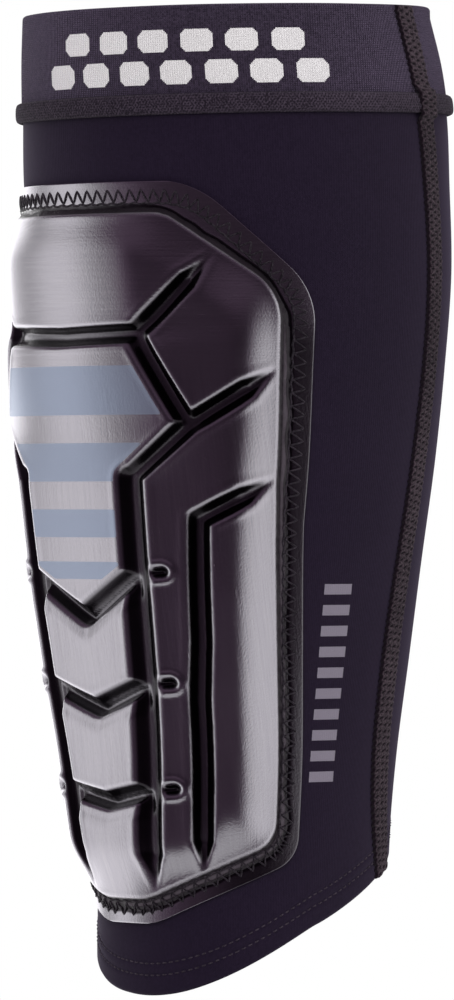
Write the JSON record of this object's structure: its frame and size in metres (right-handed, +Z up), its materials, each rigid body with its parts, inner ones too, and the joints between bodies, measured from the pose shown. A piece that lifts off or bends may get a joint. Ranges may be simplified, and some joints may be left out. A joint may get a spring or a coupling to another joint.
{
  "type": "football shin guard sleeve",
  "caption": "Compression calf sleeve with a woven knee cuff and a moulded shin pad sewn to its front, grooved into plates so that it bends with the leg.",
  "frame": {"origin": "on the leg's axis, halfway up the sleeve, where the leg passes through", "axes": "+Z up the leg to the knee, the shin faces -Y, the closing seam is on the +X side"},
  "size_m": [0.12, 0.1291, 0.2865],
  "materials": {
    "knit": "matt dark aubergine stretch knit",
    "cuff_elastic": "woven elastic with a fine rib and a woven pale stripe pattern",
    "joint_elastic": "coarse looped elastic band",
    "seam_thread": "flatlock stitched seam in dark thread",
    "pad_film": "satin film over a flexible moulding, finely brushed"
  },
  "bodies": {
    "root": {"fabric_sleeve": "knit", "cuff_band": "cuff_elastic", "cuff_joint_band": "joint_elastic", "closing_seam": "seam_thread", "shin_pad": "pad_film"}
  },
  "joints": []
}
